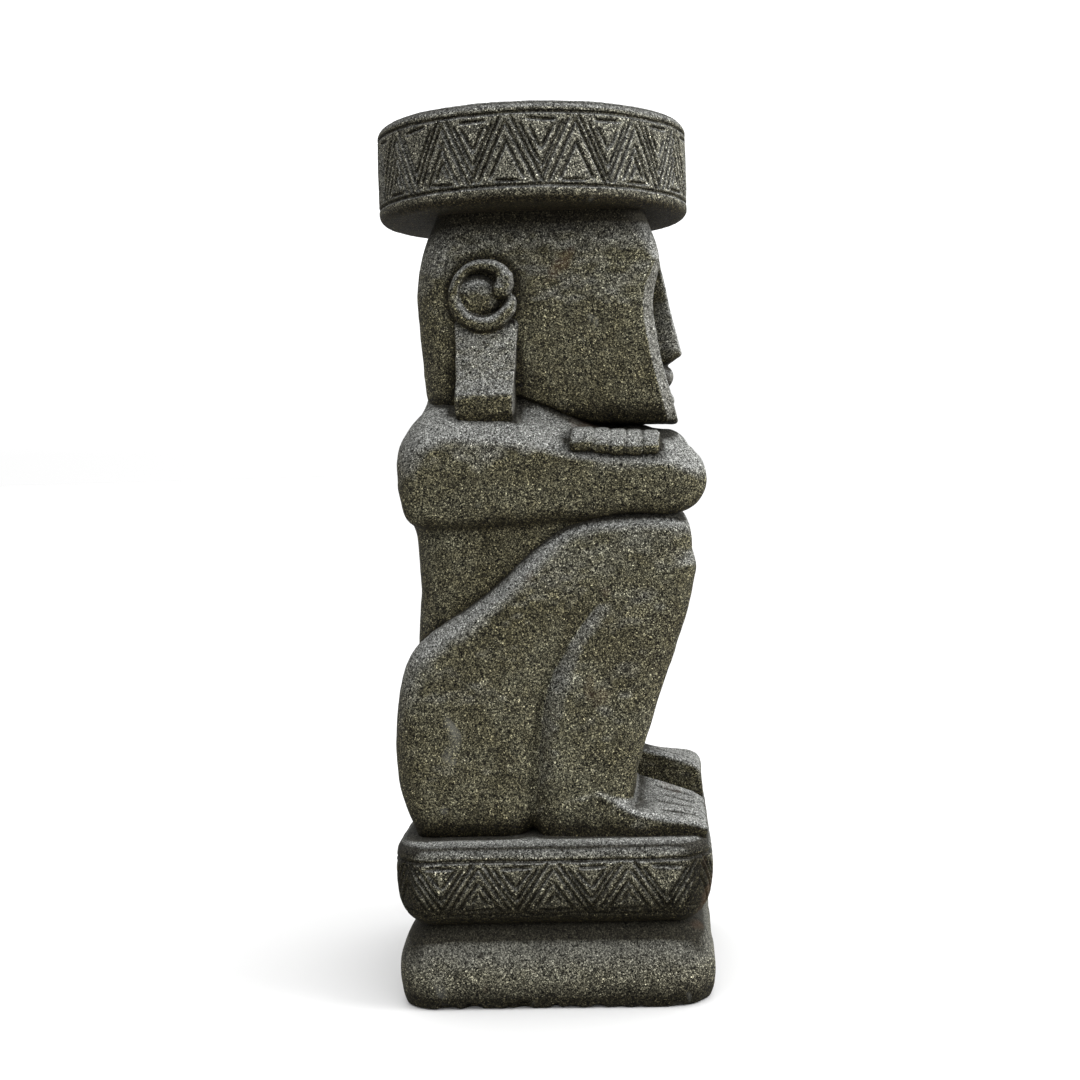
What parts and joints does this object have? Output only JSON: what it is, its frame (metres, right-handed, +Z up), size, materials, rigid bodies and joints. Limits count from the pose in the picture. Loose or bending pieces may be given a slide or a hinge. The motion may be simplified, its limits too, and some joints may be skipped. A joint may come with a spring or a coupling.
{
  "type": "tiki figure",
  "caption": "Seated carved stone tiki figure with arms folded over its knees, a drum-shaped patterned headdress and a two-tier plinth, for garden or interior display.",
  "frame": {"origin": "on the ground, under the middle of the overall box", "axes": "+Z up, the figure looks along -Y, its right side is towards -X"},
  "size_m": [0.3669, 0.3779, 1],
  "materials": {
    "stone": "matte, hand-chiselled, speckled volcanic stone"
  },
  "bodies": {
    "root": {"ground_block": "stone", "frieze_block": "stone", "torso": "stone", "right_leg": "stone", "left_leg": "stone", "right_foot": "stone", "left_foot": "stone", "right_arm": "stone", "left_arm": "stone", "right_forearm": "stone", "left_forearm": "stone", "right_hand": "stone", "left_hand": "stone", "head": "stone", "nose": "stone", "upper_lip": "stone", "lower_lip": "stone", "right_eye": "stone", "left_eye": "stone", "right_ear": "stone", "left_ear": "stone", "right_pendant": "stone", "left_pendant": "stone", "hat": "stone"}
  },
  "joints": []
}
